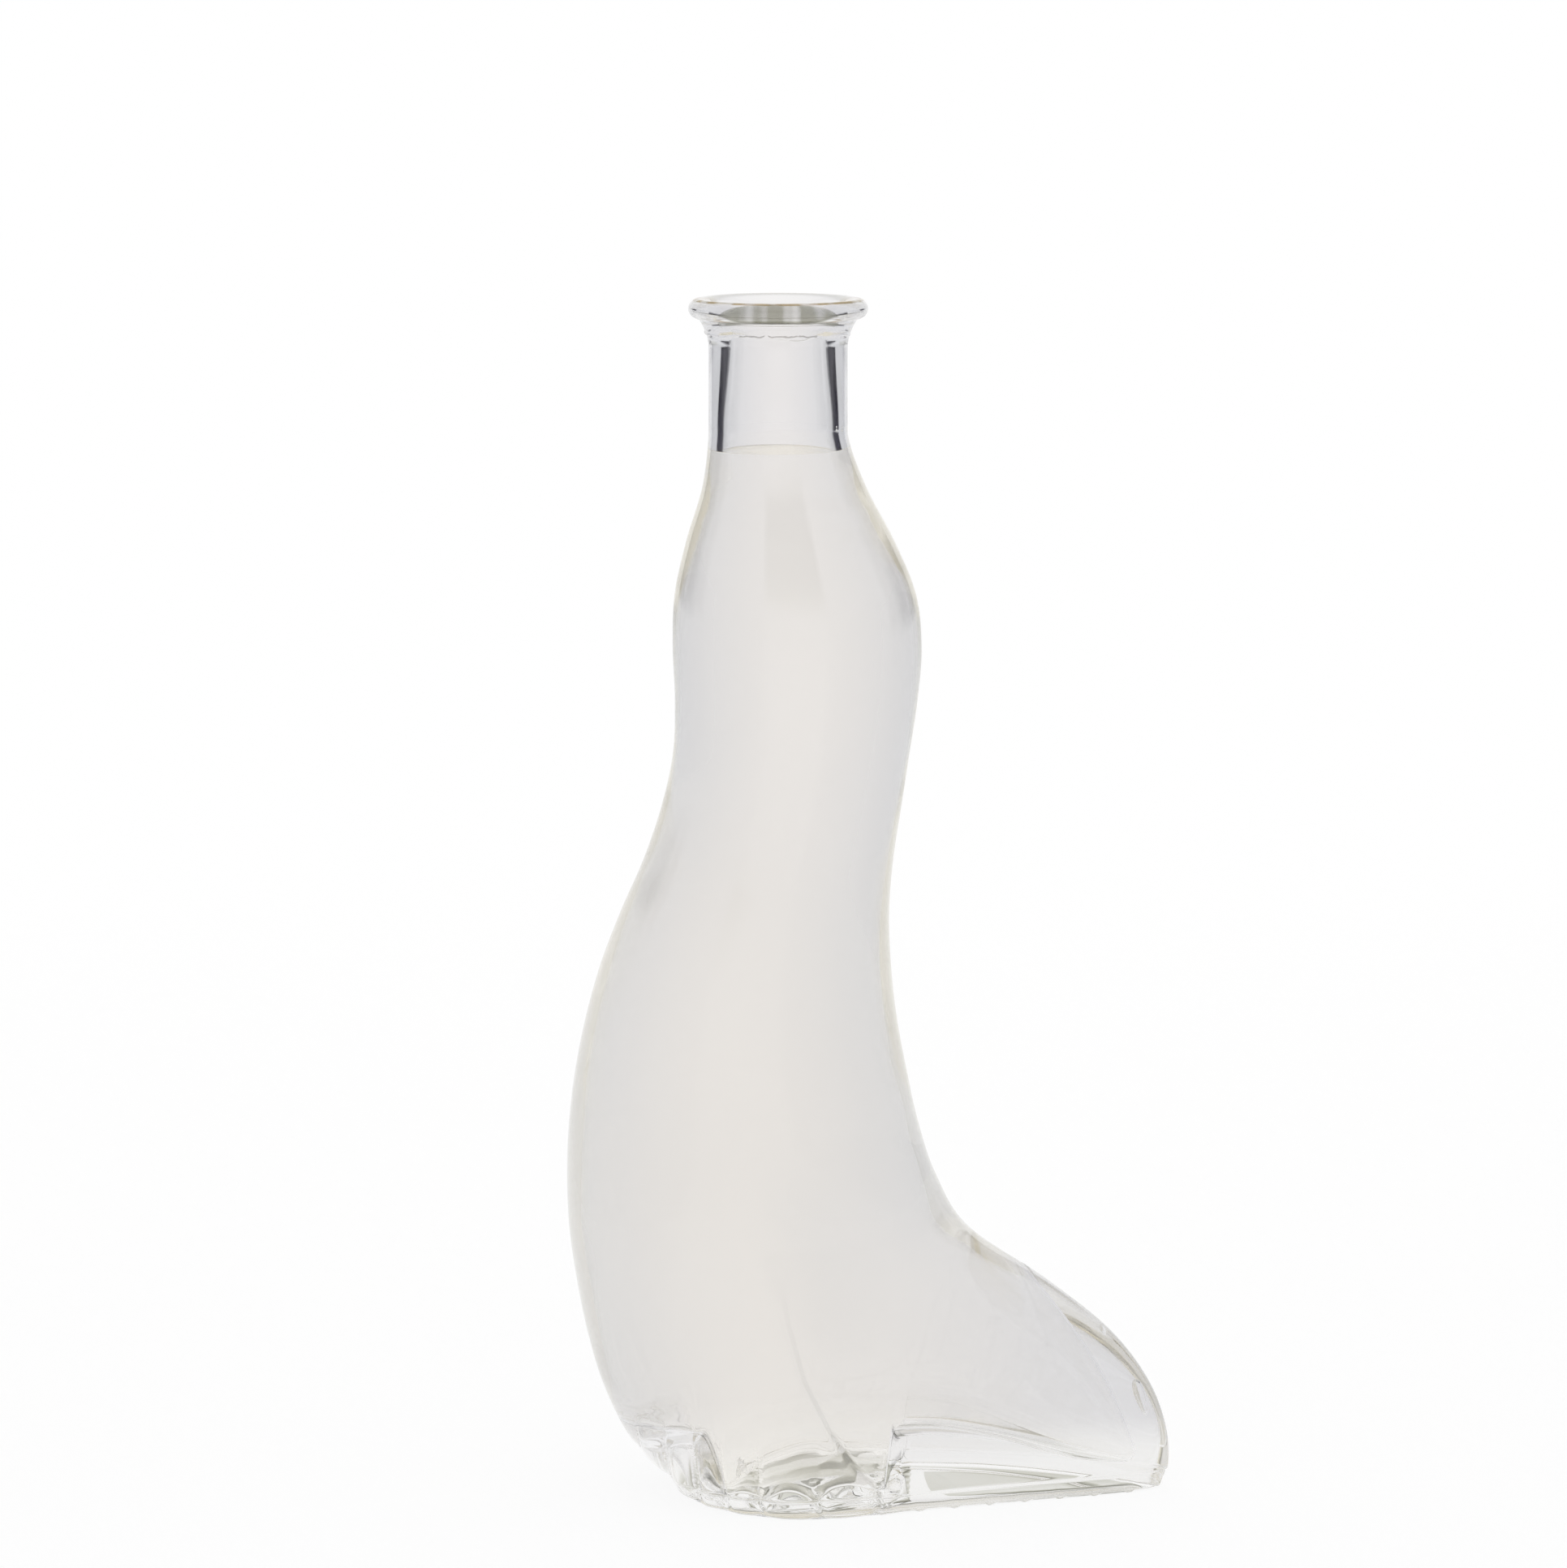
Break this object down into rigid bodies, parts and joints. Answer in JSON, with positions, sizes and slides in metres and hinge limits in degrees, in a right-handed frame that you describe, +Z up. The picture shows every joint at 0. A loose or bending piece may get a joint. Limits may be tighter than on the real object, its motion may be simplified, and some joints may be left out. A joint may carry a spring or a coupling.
{
  "type": "glass bottle",
  "caption": "Clear moulded glass bottle in the plain shape of an upright seal, with an open flared cork mouth, toed front flippers, a pointed tail and a thick glass base.",
  "frame": {"origin": "the point on the plane the bottle rests on that lies straight under the neck's axis", "axes": "+Z up along the neck's axis and out of the mouth, +X towards the tail, -X the way the chest faces, and the Y axis from side to side, with the left front flipper at -Y"},
  "size_m": [0.1029, 0.0508, 0.2036],
  "materials": {
    "clear_glass": "fire-polished, smooth and clear",
    "body_glass": "smooth clear moulded glass, slightly wavy, very faintly grey-green where it is thick"
  },
  "bodies": {
    "root": {"lip_and_mouth": "clear_glass", "neck": "clear_glass", "head": "body_glass", "chest": "body_glass", "lower_body": "body_glass", "cavity_floor": "body_glass", "front_flipper_left": "body_glass", "front_flipper_right": "body_glass", "tail": "body_glass", "base_plate": "body_glass"}
  },
  "joints": []
}
